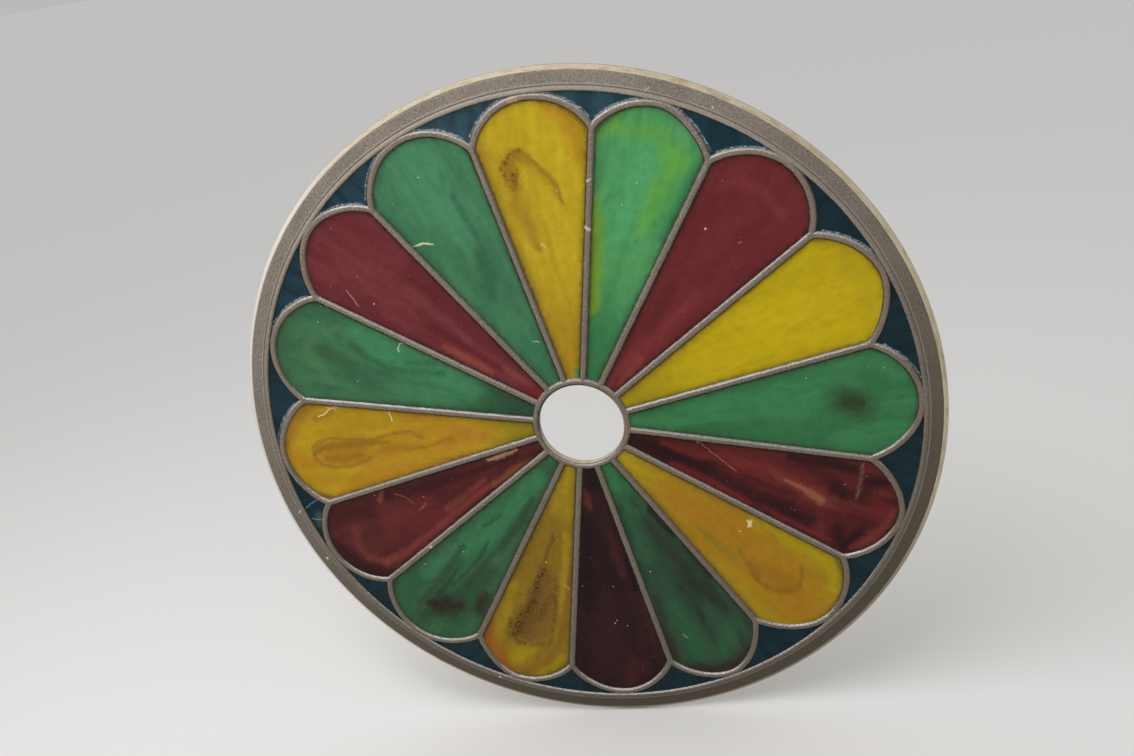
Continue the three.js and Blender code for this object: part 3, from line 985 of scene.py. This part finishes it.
# %% Green panes
GREEN_TONES = {
    2: ("#4c9557", "#569f60"),
    5: ("#357346", "#3d7f4e"),
    8: ("#294230", "#334f38"),
    11: ("#305d3c", "#3b6846"),
    14: ("#3b6c4a", "#437852"),
    16: ("#417753", "#4a845c"),
}
GREEN_MARKS = {
    2: [
        ("#357648", 0.9, 0.95, [(40, 0, 30), (110, 0, 75)]),
        ("#54aa70", 0.6, 0.95, [(300, -12, 20), (395, -8, 28)]),
        ("#7c9f22", 0.9, 0.95, [(170, -22, 5), (220, -31, 9), (280, -42, 12), (325, -54, 7)]),
        ("#66ac3c", 0.6, 0.95, [(300, 16, 7), (350, 25, 13), (405, 38, 14)]),
        ("#66a844", 0.6, 0.95, [(398, 36, 14), (430, 14, 12), (436, -10, 11), (424, -44, 9)]),
        ("#2b7448", 0.75, 0.95, [(300, 50, 9), (400, 72, 11)]),
        ("#6fa83c", 0.5, 0.95, [(400, -72, 6), (440, -48, 7)]),
        ("#d2dcb8", 0.8, 0.6, [(330, -18, 1)]),
        ("#d2dcb8", 0.7, 0.6, [(363, -5, 1)]),
    ],
    5: [
        ("#2f6640", 0.6, 0.95, [(150, 26, 10), (330, 48, 16)]),
        ("#3f8a58", 0.5, 0.95, [(200, -10, 18), (320, -20, 24)]),
        ("#355c38", 0.65, 0.95, [(366, -10, 20), (388, -2, 22)]),
        ("#30602f", 0.35, 0.95, [(396, -44, 10), (420, -34, 10)]),
        ("#33482a", 0.8, 0.95, [(370, -6, 15), (388, 2, 17)]),
        ("#25341b", 0.45, 0.95, [(372, -4, 10), (390, -2, 8)]),
        ("#c4d2b0", 0.7, 0.6, [(322, -45, 1)]),
        ("#c4d2b0", 0.7, 0.6, [(425, -50, 1)]),
    ],
    8: [
        ("#337a4a", 0.95, 0.95, [(40, 0, 20), (80, 0, 50)]),
        ("#326040", 0.7, 0.95, [(150, 8, 9), (230, 22, 12)]),
        ("#2d6240", 0.65, 0.95, [(330, 26, 12), (415, 30, 18)]),
        ("#2d6440", 0.55, 0.95, [(395, -38, 12), (428, -8, 12)]),
        ("#2a2a1c", 0.6, 0.95, [(180, -10, 8), (300, -20, 14), (360, -46, 9)]),
        ("#33221a", 0.9, 0.8, [(440, -64, 14), (462, -20, 12), (462, 20, 12), (440, 64, 14)]),
        ("#33261c", 0.8, 0.9, [(352, 60, 7), (410, 68, 11)]),
        ("#16120d", 0.9, 0.8, [(163, -24, 5), (195, -31, 9), (216, -36, 5)]),
        ("#1b1710", 0.85, 0.8, [(240, -42, 5), (300, -52, 7)]),
        ("#1c2a1e", 0.55, 0.9, [(300, 0, 3), (330, -8, 5), (362, -6, 4), (372, 2, 2.6)]),
        ("#1f3022", 0.6, 0.9, [(300, 44, 5), (350, 52, 5)]),
        ("#b4c2a4", 0.8, 0.6, [(258, 29, 1.1)]),
        ("#95b08c", 0.7, 0.6, [(378, 37, 0.8), (386, 33, 0.8)]),
    ],
    11: [
        ("#3f8254", 0.7, 0.95, [(120, 0, 16), (220, 6, 20), (290, 22, 16)]),
        ("#46855a", 0.5, 0.95, [(300, 30, 8), (370, 44, 10)]),
        ("#2f4630", 0.7, 0.95, [(300, -34, 12), (400, -18, 24), (440, 10, 16)]),
        ("#2c2018", 0.9, 0.9, [(386, -26, 14), (404, -6, 20), (410, 10, 10)]),
        ("#2e241c", 0.85, 0.9, [(340, -52, 9), (372, -58, 10)]),
        ("#2f4a33", 0.85, 0.9, [(150, -14, 5), (200, -20, 7), (255, -22, 7)]),
        ("#2f4a33", 0.75, 0.9, [(270, -18, 5), (330, -20, 6), (380, -16, 7)]),
        ("#2e4a34", 0.75, 0.9, [(290, 26, 5), (362, 20, 7), (420, 26, 6)]),
        ("#23402c", 0.6, 0.9, [(255, 0, 2.6), (285, -6, 3.5), (325, -4, 3), (360, 0, 3)]),
        ("#23402c", 0.5, 0.9, [(205, 10, 3), (236, 18, 3)]),
        ("#23402c", 0.6, 0.8, [(330, 10, 3), (385, 8, 4)]),
        ("#d2dac0", 0.8, 0.6, [(297, 20, 1)]),
        ("#d2dac0", 0.7, 0.6, [(357, 55, 1)]),
    ],
    14: [
        ("#2c4c34", 0.95, 0.95, [(40, 0, 25), (92, -6, 62)]),
        ("#468e60", 0.7, 0.95, [(170, 10, 20), (280, 30, 24), (345, 46, 16)]),
        ("#43875c", 0.5, 0.95, [(200, -20, 14), (270, -20, 16)]),
        ("#4e7a50", 0.8, 0.95, [(370, -40, 5), (402, -22, 7), (414, 5, 8), (400, 30, 7), (370, 48, 5)]),
        ("#3c5c3e", 0.7, 0.95, [(350, -6, 10), (395, 6, 12)]),
        ("#3f6846", 0.7, 0.95, [(440, -50, 9), (456, 0, 9), (440, 50, 9)]),
        ("#2c5638", 0.5, 0.95, [(212, 20, 4.5), (250, 12, 5), (290, 4, 5), (330, 14, 5), (352, 27, 5)]),
        ("#33603f", 0.6, 0.9, [(228, 32, 5), (264, 22, 5)]),
        ("#cfdab0", 0.95, 0.5, [(281, 36, 0.8), (284, 41, 0.8), (281, 48, 0.8), (273, 51, 0.7)]),
        ("#c4cfae", 0.7, 0.6, [(335, -29, 0.9)]),
        ("#c4cfae", 0.7, 0.6, [(405, 48, 0.9)]),
    ],
    16: [
        ("#397050", 0.9, 0.95, [(40, 0, 25), (85, 0, 60)]),
        ("#4f9068", 0.7, 0.95, [(340, 10, 26), (420, 0, 38)]),
        ("#3c7652", 0.6, 0.95, [(280, -48, 9), (392, -66, 10)]),
        ("#38664a", 0.8, 0.9, [(225, -8, 8), (255, 6, 13), (285, 10, 8)]),
        ("#36664a", 0.55, 0.95, [(250, 14, 4), (310, 22, 5), (372, 26, 4)]),
        ("#3e7252", 0.6, 0.9, [(190, 16, 5), (300, 34, 6)]),
        ("#d2e0b8", 0.95, 0.5, [(340, -66, 0.9), (339, -54, 1), (333, -42, 1), (329, -37, 0.9)]),
        ("#9cc094", 0.8, 0.6, [(136, 15, 0.8), (142, 8, 0.8)]),
        ("#c4d2b0", 0.7, 0.6, [(416, 0, 0.9)]),
    ],
}
dress_petals("green", "#2c3424", GREEN_MARKS, GREEN_TONES)

# %% [markdown]
# Red panes are a deep oxide red with brick-coloured wisps. The one at the bottom is nearly black.

# %% Red panes
RED_TONES = {
    3: ("#6b2729", "#732c2e"),
    6: ("#481819", "#622222"),
    9: ("#281112", "#301717"),
    12: ("#501f1f", "#5e2524"),
    15: ("#6c2b2f", "#763338"),
}
RED_MARKS = {
    3: [
        ("#84383a", 0.5, 0.95, [(78, -6, 5), (112, -4, 8), (165, 4, 7), (262, 18, 6)]),
        ("#8f423a", 0.6, 0.95, [(84, 8, 3), (135, 8, 5)]),
        ("#5c2022", 0.5, 0.95, [(180, -8, 8), (240, -20, 10)]),
        ("#7d3438", 0.6, 0.95, [(395, -50, 5), (418, -34, 6), (424, 0, 7), (412, 40, 5)]),
        ("#e0c0b4", 0.85, 0.6, [(340, -32, 1.3)]),
        ("#b5948a", 0.6, 0.6, [(350, 14, 0.8), (354, 17, 0.8)]),
    ],
    6: [
        ("#210d0f", 0.85, 0.95, [(70, 0, 16), (120, 2, 16), (190, 12, 12)]),
        ("#782828", 0.7, 0.95, [(225, -14, 9), (300, -12, 14), (352, -6, 14)]),
        ("#2a0f12", 0.85, 0.95, [(190, 12, 8), (260, 26, 10), (350, 44, 10)]),
        ("#2c1012", 0.85, 0.95, [(296, -46, 6), (330, -50, 8), (384, -58, 7)]),
        ("#2c1012", 0.8, 0.95, [(368, -20, 11), (384, -14, 8)]),
        ("#270d10", 0.85, 0.95, [(412, -40, 12), (430, -50, 8)]),
        ("#250c0f", 0.9, 0.95, [(396, 44, 14), (410, 62, 12), (424, 40, 10)]),
        ("#6c2422", 0.5, 0.95, [(430, -30, 10), (446, 0, 12)]),
        ("#7c3c30", 0.55, 0.95, [(424, 64, 5), (442, 44, 8), (456, 14, 6), (458, -10, 4)]),
        ("#842420", 0.75, 0.95, [(140, 21, 5), (220, 37, 6), (262, 44, 4)]),
        ("#7a2a24", 0.5, 0.9, [(300, 48, 3), (390, 64, 3)]),
        ("#6e2420", 0.7, 0.9, [(120, -10, 4), (170, -4, 5), (215, -22, 4)]),
        ("#7e3c30", 0.5, 0.95, [(270, -18, 4), (320, -6, 9), (368, 6, 11)]),
        ("#9c6644", 0.65, 0.95, [(300, -9, 2), (335, -3, 4), (358, 5, 5.5)]),
        ("#b08c80", 0.25, 0.9, [(394, -68, 2), (399, -40, 3), (403, -12, 2)], "clotted"),
        ("#e0b4a0", 0.95, 0.5, [(166, -28, 2.2)]),
        ("#b07868", 0.55, 0.6, [(168, -27, 0.7), (232, 1, 0.6)]),
        ("#b89888", 0.7, 0.6, [(380, -30, 1)]),
        ("#b89888", 0.6, 0.6, [(328, 33, 1)]),
    ],
    9: [
        ("#351919", 0.7, 0.95, [(300, 10, 20), (400, 6, 28)]),
        ("#461c1e", 0.75, 0.95, [(425, -24, 14), (456, -8, 12)]),
        ("#120909", 0.85, 0.95, [(222, -38, 7), (278, -46, 9)]),
        ("#170b0b", 0.7, 0.95, [(70, 0, 9), (100, -4, 9)]),
        ("#1c0e0e", 0.7, 0.95, [(160, 14, 10), (300, 36, 14)]),
        ("#4a2020", 0.6, 0.95, [(180, -16, 5), (215, -19, 8), (255, -26, 6)]),
        ("#4a1e1f", 0.7, 0.95, [(300, -50, 5), (370, -58, 6)]),
        ("#70302a", 0.6, 0.95, [(104, 16, 4), (122, 12, 7), (136, 8, 4)]),
        ("#cfc2ba", 0.9, 0.6, [(337, -5, 0.9)]),
        ("#cfc2ba", 0.9, 0.6, [(342, -1, 1)]),
        ("#cfc2ba", 0.7, 0.6, [(346, -20, 0.8)]),
        ("#b8a8a0", 0.7, 0.6, [(275, -8, 1)]),
        ("#b8a8a0", 0.7, 0.6, [(272, 40, 1)]),
    ],
    12: [
        ("#702c2a", 0.6, 0.95, [(290, -4, 18), (352, 8, 18)]),
        ("#2c1213", 0.85, 0.95, [(418, -72, 12), (452, -30, 12), (458, 10, 8)]),
        ("#421719", 0.75, 0.95, [(378, 36, 14), (425, 52, 14)]),
        ("#3a1416", 0.85, 0.9, [(110, 4, 3), (150, 8, 4), (200, 15, 6), (262, 27, 9), (335, 46, 9)]),
        ("#8c3e38", 0.6, 0.95, [(180, -18, 4), (292, -40, 6), (360, -50, 6), (406, -50, 6)]),
        ("#843c36", 0.4, 0.95, [(406, -50, 5), (426, -30, 6), (428, -5, 7), (414, 22, 7)]),
        ("#8a4238", 0.5, 0.95, [(180, -6, 4), (260, -22, 6)]),
        ("#97583a", 0.65, 0.95, [(96, -12, 3), (130, -16, 6), (170, -20, 5)]),
        ("#c09a6e", 0.9, 0.95, [(108, 11.5, 2), (130, 14.5, 3.6), (156, 19, 2)]),
        ("#a8584e", 0.5, 0.7, [(302, 12, 1), (308, 30, 1), (320, 42, 1)]),
        ("#9c5044", 0.5, 0.9, [(333, 56, 3), (346, 44, 4)]),
        ("#a05a50", 0.45, 0.8, [(286, 4, 2), (300, 0, 1.2)]),
        ("#d8b4a8", 0.7, 0.6, [(292, 2, 0.9)]),
        ("#d8b4a8", 0.7, 0.6, [(281, 16, 0.9)]),
        ("#d8b4a8", 0.7, 0.6, [(349, 54, 1)]),
    ],
    15: [
        ("#7e3c3c", 0.35, 0.95, [(300, 0, 20), (405, -10, 32)]),
        ("#7c1e1e", 0.8, 0.9, [(64, 0, 8), (90, -3, 9)]),
        ("#95483e", 0.8, 0.9, [(150, -15, 5), (185, -21, 8), (222, -25, 5)]),
        ("#8a423a", 0.7, 0.9, [(92, 5, 4), (134, 2, 5)]),
        ("#5e2024", 0.5, 0.95, [(108, 14, 5), (205, 20, 8), (320, 36, 12)]),
        ("#5e2024", 0.6, 0.9, [(140, -4, 5), (255, -12, 7)]),
        ("#88444a", 0.35, 0.95, [(200, 4, 5), (310, 16, 8)]),
        ("#c09490", 0.8, 0.6, [(357, -52, 0.7), (372, -47, 0.7), (382, -43, 0.7)]),
        ("#e8ccc0", 0.9, 0.6, [(340, -35, 1)]),
        ("#d0a8a0", 0.7, 0.6, [(381, -15, 1)]),
        ("#d0a8a0", 0.6, 0.6, [(446, 22, 0.9)]),
    ],
}
dress_petals("red", "#241514", RED_MARKS, RED_TONES)

# %% [markdown]
# The sixteen small panes between the arches, the spandrels, are a dark teal, paler and greyer at the
# top of the window. One has old scratches. On eight of them a broken pale line runs along the outside
# of the arches: dried dust, and a painted highlight where the resin's wet edge would glint. The line
# is worked out from the same curves as the arches.

# %% Teal panes
TEAL_MARKS = {
    12: [
        ("#4b5c5a", 0.6, 0.95, [(462, -30, 6), (456, -18, 7)]),
        ("#3f86a4", 0.8, 0.6, [(471, 4, 1), (445, 11, 1)]),
        ("#8aa4a8", 0.7, 0.6, [(470, -17, 1), (457, -24, 1)]),
        ("#b9bdb2", 0.9, 0.6, [(455, -25, 2.2)]),
    ],
    16: [
        ("#40616e", 0.4, 0.95, [(445, -6, 9), (462, 6, 8)]),
    ],
}
TEAL_TONES = {
    1: ("#223d46", "#2d4b55"),
    2: ("#142f38", "#1d3a43"),
    13: ("#162d37", "#1f3943"),
    14: ("#1a313b", "#243e48"),
    15: ("#1d343e", "#28434d"),
    16: ("#2a3f48", "#364e58"),
}
CLEAN_TEAL = ("#0e252c", "#142e35")
TEAL_SEED = 40
# Which spandrels carry the pale line of dust and painted highlight, and on which sides.
CRUSTED_AND_GLINTING = {1: (-1, 1), 2: (-1, 1), 3: (1,), 4: (1,), 13: (-1,), 14: (-1,), 15: (-1, 1), 16: (-1, 1)}
CRUST_GLINT_OUT = HALF + 0.9
CRUST_GLINT_RADIUS = 1.3
CRUST_GLINT_STOPS = 8
DUSTIEST = 16


def crust_and_glint(k, side):
    """The pale crust and painted glint along the arch on one side of the strip: -1 before it, 1 after it,
    clockwise.
    """
    left, top, right = arch(k if side < 0 else (k + 1) % COUNT)
    if side < 0:
        line = interpolate_bezier(right.at, right.before, top.after, top.at, CRUST_GLINT_STOPS)
    else:
        line = interpolate_bezier(left.at, left.after, top.before, top.at, CRUST_GLINT_STOPS)
    outward = direction(PETALS[k].side)
    across = direction(PETALS[k].side + 90)
    path = []
    for before, here, after in zip(line, line[1:], line[2:]):
        ahead = (after - before).normalized()
        beside = Vector((-ahead.y, ahead.x, 0)) * side
        stop = here + beside * CRUST_GLINT_OUT * MM
        path.append((stop.dot(outward) / MM, stop.dot(across) / MM, CRUST_GLINT_RADIUS))
    # Pale blue-grey: dust, with a painted highlight along the wet edge of the resin.
    return ("#b4c0c6", 0.7, 0.9, path, "clotted")


for k, pane in enumerate(spandrels):
    number = k + 1
    marks = TEAL_MARKS.get(number, []) + [crust_and_glint(k, side) for side in CRUSTED_AND_GLINTING.get(number, ())]
    tones = TEAL_TONES.get(number, CLEAN_TEAL)
    dusty = 0.8 if number == DUSTIEST else 0.3
    dress(pane, resin(f"cast_teal_resin_{number}", PETALS[k].side, tones, marks, "#0e1a20",
                      number + TEAL_SEED, dust=dusty))
print("teal panes:", len(spandrels))

# %% [markdown]
# The two castings share a frame of their own: the face's coordinates, the height above the back, the
# distance from the hub's centre, and how far down to the right a point lies, toward which the leading
# and the lip are painted darker.

# %% The castings' frame
def toward(angle):
    """The direction on the face at this clockwise angle."""
    turn = math.radians(angle)
    return (math.cos(turn), 0, -math.sin(turn))


LOWER_RIGHT = toward(160)


def on_clock(angle, radius, size):
    """A stroke's stop given by its clockwise angle and its distance from the hub's centre."""
    turn = math.radians(angle)
    return (radius * math.cos(turn), radius * math.sin(turn), size)


def face_frame(tree, here):
    """Where a point is on the face, its height, its radius, and how far down to the right it is."""
    at = pane_frame(tree, here, 0)
    depth = add(tree, "SeparateXYZ", here).node.outputs["Y"]
    height = share(tree, depth, -1 / MM)
    radius = add(tree, "VectorMath", at, operation="LENGTH")
    low = add(tree, "VectorMath", at, LOWER_RIGHT, operation="DOT_PRODUCT")
    return at, height, radius, low


# The leading and the lip are painted darker towards this direction.
print("dirt gathers toward", [round(part, 2) for part in LOWER_RIGHT])

# %% [markdown]
# The leading is a grey resin loaded with sand: taupe and matt, with pale and dark grains drawn two
# or three millimetres across so that they show. The top of the bead and the rim's raised line are
# painted paler, as painted highlights, and the rim's groove darker, as painted shade. Clear resin
# crept up the strips' feet, so they are glossy, and the feet are painted dark, for the wet resin
# and as painted shade. The leading is darker and browner towards the lower right, most on the rim's
# band, and pale crumbs on flanks that face up, most of all on the outsides of the arches, are
# partly dust and partly painted highlight.

# %% Marks on the leading
LEAD_MARKS = [
    ("#b98a62", 0.9, 0.8, [on_clock(-1.6, 467, 2.5), on_clock(-0.6, 468, 3)]),
    ("#c9a888", 0.8, 0.7, [on_clock(-3.6, 468, 1.8)]),
    ("#d2c6a6", 0.9, 0.6, [on_clock(12.2, 291, 2), on_clock(11.2, 294, 2)]),
    ("#d2c6a6", 0.8, 0.6, [on_clock(11.2, 356, 1.2), on_clock(12.0, 360, 1.2)]),
    ("#d0c8ba", 0.9, 0.6, [on_clock(235.8, 328, 2.2)]),
    ("#cfc9bd", 0.9, 0.6, [on_clock(206, 482, 2)]),
    ("#cfc9bd", 0.9, 0.6, [on_clock(246.6, 489, 2.2)]),
    ("#cfc9bd", 0.8, 0.6, [on_clock(257, 486, 1.2), on_clock(257.3, 482, 1.2)]),
    ("#cfc9bd", 0.8, 0.6, [on_clock(30.2, 487, 1.4)]),
    ("#b9a983", 0.8, 0.6, [on_clock(19.8, 483, 1), on_clock(20.3, 487, 1)]),
]
print("marks on the leading:", len(LEAD_MARKS))

# %% Sanded grey resin for the leading
COARSE_SAND = 3.4
FINE_SAND = 2.0
LEAD_CLOUD = 55
DUST_AND_GLINT_CRUMB = 1.7
ARCHES_FROM = 405
ARCHES_TO = 430


def sanded_grey():
    made, tree, here = start_finish("sanded_grey_resin")
    at, height, radius, low = face_frame(tree, here)
    above_hub = add(tree, "SeparateXYZ", at).node.outputs["X"]
    facing = add(tree, "NewGeometry").node.outputs["Normal"]
    upward = add(tree, "SeparateXYZ", facing).node.outputs["Z"]
    coarse = add(tree, "TexNoise", at, 1 / COARSE_SAND, 3)
    fine = add(tree, "TexNoise", at, 1 / FINE_SAND, 3)
    cloud = add(tree, "TexNoise", at, 1 / LEAD_CLOUD, 3)
    dust_and_glint_crumbs = add(tree, "TexNoise", at, 1 / DUST_AND_GLINT_CRUMB, 3)
    band = share(tree, (radius, BAND_INSIDE - 2, BAND_INSIDE + 2))
    pane_side = share(tree, (radius, BEAD_INSIDE + 1.3, BEAD_INSIDE + 3.3, 1, 0))

    strip_tone = layer(tree, "#7b6c57", "#877762", (cloud, 0.35, 0.65))
    rim_tone = layer(tree, "#7f7569", "#8a8074", (cloud, 0.35, 0.65))
    base = layer(tree, strip_tone, rim_tone, (radius, BEAD_INSIDE - 0.2, BEAD_INSIDE + 3.8))
    for code, *parts in (
        ("#a89d90", (coarse, 0.53, 0.66, 0, 0.45)),
        ("#51483d", (coarse, 0.47, 0.34, 0, 0.5)),
        ("#aaa094", (fine, 0.5, 0.68, 0, 0.45)),
        ("#4c443a", (fine, 0.5, 0.32, 0, 0.45)),
        # Painted highlights on the top of the bead and on the rim's raised line, and painted shade in its
        # groove.
        ("#ab9f8e", (radius, BEAD_INSIDE - 1.2, BEAD_INSIDE + 1.8),
         (radius, BEAD_INSIDE + 5.8, BEAD_INSIDE + 8.8, 0.4, 0), (above_hub, 60, 380)),
        ("#b5aa9b", (radius, BAND_INSIDE - 2.2, BAND_INSIDE - 1.8),
         (radius, BAND_INSIDE - 1.2, BAND_INSIDE - 0.4, 0.4, 0)),
        ("#4d453b", (radius, BAND_INSIDE - 4.4, BAND_INSIDE - 3.6),
         (radius, BAND_INSIDE - 2.8, BAND_INSIDE - 2, 0.6, 0)),
        # The strips' dark feet (wet resin and painted shade), darker and browner towards the lower right,
        # and pale crumbs on up-facing flanks (dust and painted highlight).
        ("#3f342a", (height, FACE + 2, CREST - 0.1, 1, 0), pane_side, 0.75),
        ("#3f3421", (low, -560, 480), (band, 0, 1, 0.5, 0.95)),
        ("#bdb7b3", (upward, 0.3, 0.6), (dust_and_glint_crumbs, 0.38, 0.58, 0.15, 1),
         (radius, ARCHES_FROM, ARCHES_TO, 0.55, 1), pane_side),
    ):
        base = layer(tree, base, code, *parts)
    for code, strength, soft, path in LEAD_MARKS:
        base = layer(tree, base, code, stroke(tree, at, path, soft), strength)

    wet = share(tree, (height, CREST - 0.9, CREST, 1, 0), pane_side)
    bump = add(tree, "Bump", Height=coarse, Strength=0.8, Distance=0.7 * MM)
    return settle(made, Base_Color=base, Roughness=0.6, Coat_Weight=wet, Coat_Roughness=0.22,
                  Coat_IOR=1.7, Normal=bump)


dress(lead_lines, sanded_grey())
print("leading dressed")

# %% [markdown]
# The backing sheet is a milky cream resin. Bristles ran round it and left fine strokes, which show
# on its lip. The lip is darker down on the right and painted paler on the left, as painted light, and
# its back edge is darker and browner. Inside the hub its collar has painted shade. The back has only
# the cream and the strokes.

# %% Milky cream resin for the sheet
BRISTLES_ROUND = 26
BRISTLES_OUT = 0.35
STREAKS_ACROSS = 70
SHEET_CLOUD = 60


def milky_cream():
    made, tree, here = start_finish("milky_cream_resin")
    at, height, radius, low = face_frame(tree, here)
    outward = add(tree, "VectorMath", at, operation="NORMALIZE")
    wound = add(tree, "VectorMath", outward, BRISTLES_ROUND, operation="SCALE")
    drawn_out = add(tree, "CombineXYZ", Y=share(tree, radius, BRISTLES_OUT))
    along = add(tree, "VectorMath", wound, drawn_out, operation="ADD")
    brushed = add(tree, "TexNoise", along, 1, 3)
    across = add(tree, "TexNoise", outward, STREAKS_ACROSS, 3)
    cloud = add(tree, "TexNoise", at, 1 / SHEET_CLOUD, 3)
    leftward = add(tree, "VectorMath", at, toward(276), operation="DOT_PRODUCT")
    front = share(tree, (height, 0.3, 1.2))

    base = layer(tree, "#b8ab8e", "#c2b59b", (cloud, 0.35, 0.65))
    for code, *parts in (
        ("#9d8a58", (brushed, 0.5, 0.66, 0, 0.6)),
        ("#c6b8a2", (brushed, 0.46, 0.3, 0, 0.6)),
        ("#c9bb94", (across, 0.52, 0.7, 0, 0.35)),
        # Darker low on the right, painted light on the left side, the darker back edge and the collar's
        # painted shade.
        ("#6b5f4a", (low, 260, 440, 0, 0.75), front),
        ("#dad6cd", (leftward, 241, 432, 0, 0.85), front),
        ("#5f5236", (height, 0.6, 1.8, 0.85, 0), (radius, FACE_RADIUS, FACE_RADIUS + 5)),
        ("#2b3538", (radius, HUB_OUTSIDE - 6, HUB_OUTSIDE - 2, 1, 0), (low, 10, -30), 0.9),
    ):
        base = layer(tree, base, code, *parts)

    bump = add(tree, "Bump", Height=brushed, Strength=0.4, Distance=0.5 * MM)
    return settle(made, Base_Color=base, Roughness=share(tree, (cloud, 0.3, 0.7, 0.42, 0.58)),
                  Normal=bump)


dress(cream_sheet, milky_cream())
print("sheet dressed")

# %% [markdown]
# The floor is a plain pale slab that runs out to the horizon and meets a pale sky.

# %% Floor and sky
FLOOR_SIZE = 400
UNDER_WINDOW = 0.5

deselect()
floor_z = cad_box[0][2] - UNDER_WINDOW * MM
bpy.ops.mesh.primitive_plane_add(size=FLOOR_SIZE, location=(0, 0, floor_z))
floor = bpy.context.object
floor.name = "studio_floor"
bpy.ops.object.transform_apply(location=True)
studio_paint = start_finish("pale_studio_floor")[0]
dress(floor, settle(studio_paint, Base_Color="#eeece8", Roughness=0.9))

world = bpy.data.worlds.new("pale_sky")
bpy.context.scene.world = world
world.use_nodes = True
sky = world.node_tree.nodes["Background"]
sky.inputs["Color"].default_value = colour("#f2f3f5")
sky.inputs["Strength"].default_value = 0.55
print("floor at", round(floor_z, 4), "m")

# %% [markdown]
# One cool light panel hangs above and a little in front, as in a workshop, so the leading glints on
# its upper sides and the face is brighter at the top. A tall panel on the left does the same for the
# slanting strips, and a large weak one in front lifts the shadows. A wide sun keeps the floor pale.

# %% Lights
def light_up(name, kind, stand, aim, **settings):
    light = bpy.data.lights.new(name, kind)
    for key, value in settings.items():
        setattr(light, key, value)
    made = bpy.data.objects.new(name, light)
    bpy.context.collection.objects.link(made)
    made.location = stand
    made.rotation_euler = (Vector(aim) - Vector(stand)).to_track_quat("-Z", "Y").to_euler()


hub = (0, 0, HUB_Z)
light_up("overhead_panel", "AREA", (-0.55, -0.65, 1.98), (0, 0, 0.7), energy=14,
         shape="RECTANGLE", size=2.2, size_y=0.45, color=colour("#f9f7fb")[:3])
light_up("window_on_the_left", "AREA", (-1.95, -0.8, 1.45), hub, energy=5,
         shape="RECTANGLE", size=1.0, size_y=1.2, color=colour("#faf7fb")[:3])
light_up("front_fill", "AREA", (1.6, -2.6, 1.6), hub, energy=6,
         shape="RECTANGLE", size=1.8, size_y=1.8)
light_up("soft_sun", "SUN", (0, 0, 0), (0.25, 0.3, -1), energy=0.45, angle=math.radians(50))
print("lights:", len(bpy.data.lights))

# %% [markdown]
# The camera looks slightly down at the face from the right, turned a little about its own axis.

# %% Camera
EYE = (0.3802, -1.5188, 1.1887)
TURNS = (68.046, 10.142, 10.335)
LENS = 37.63
SENSOR = 36

view = bpy.data.cameras.new("view")
view.lens = LENS
view.sensor_width = SENSOR
camera = bpy.data.objects.new("view", view)
bpy.context.collection.objects.link(camera)
camera.location = EYE
camera.rotation_euler = [math.radians(turn) for turn in TURNS]
bpy.context.scene.camera = camera
bpy.context.scene.view_settings.view_transform = "Standard"
print("camera at", EYE)

# %% End of the scene
print("scene built")
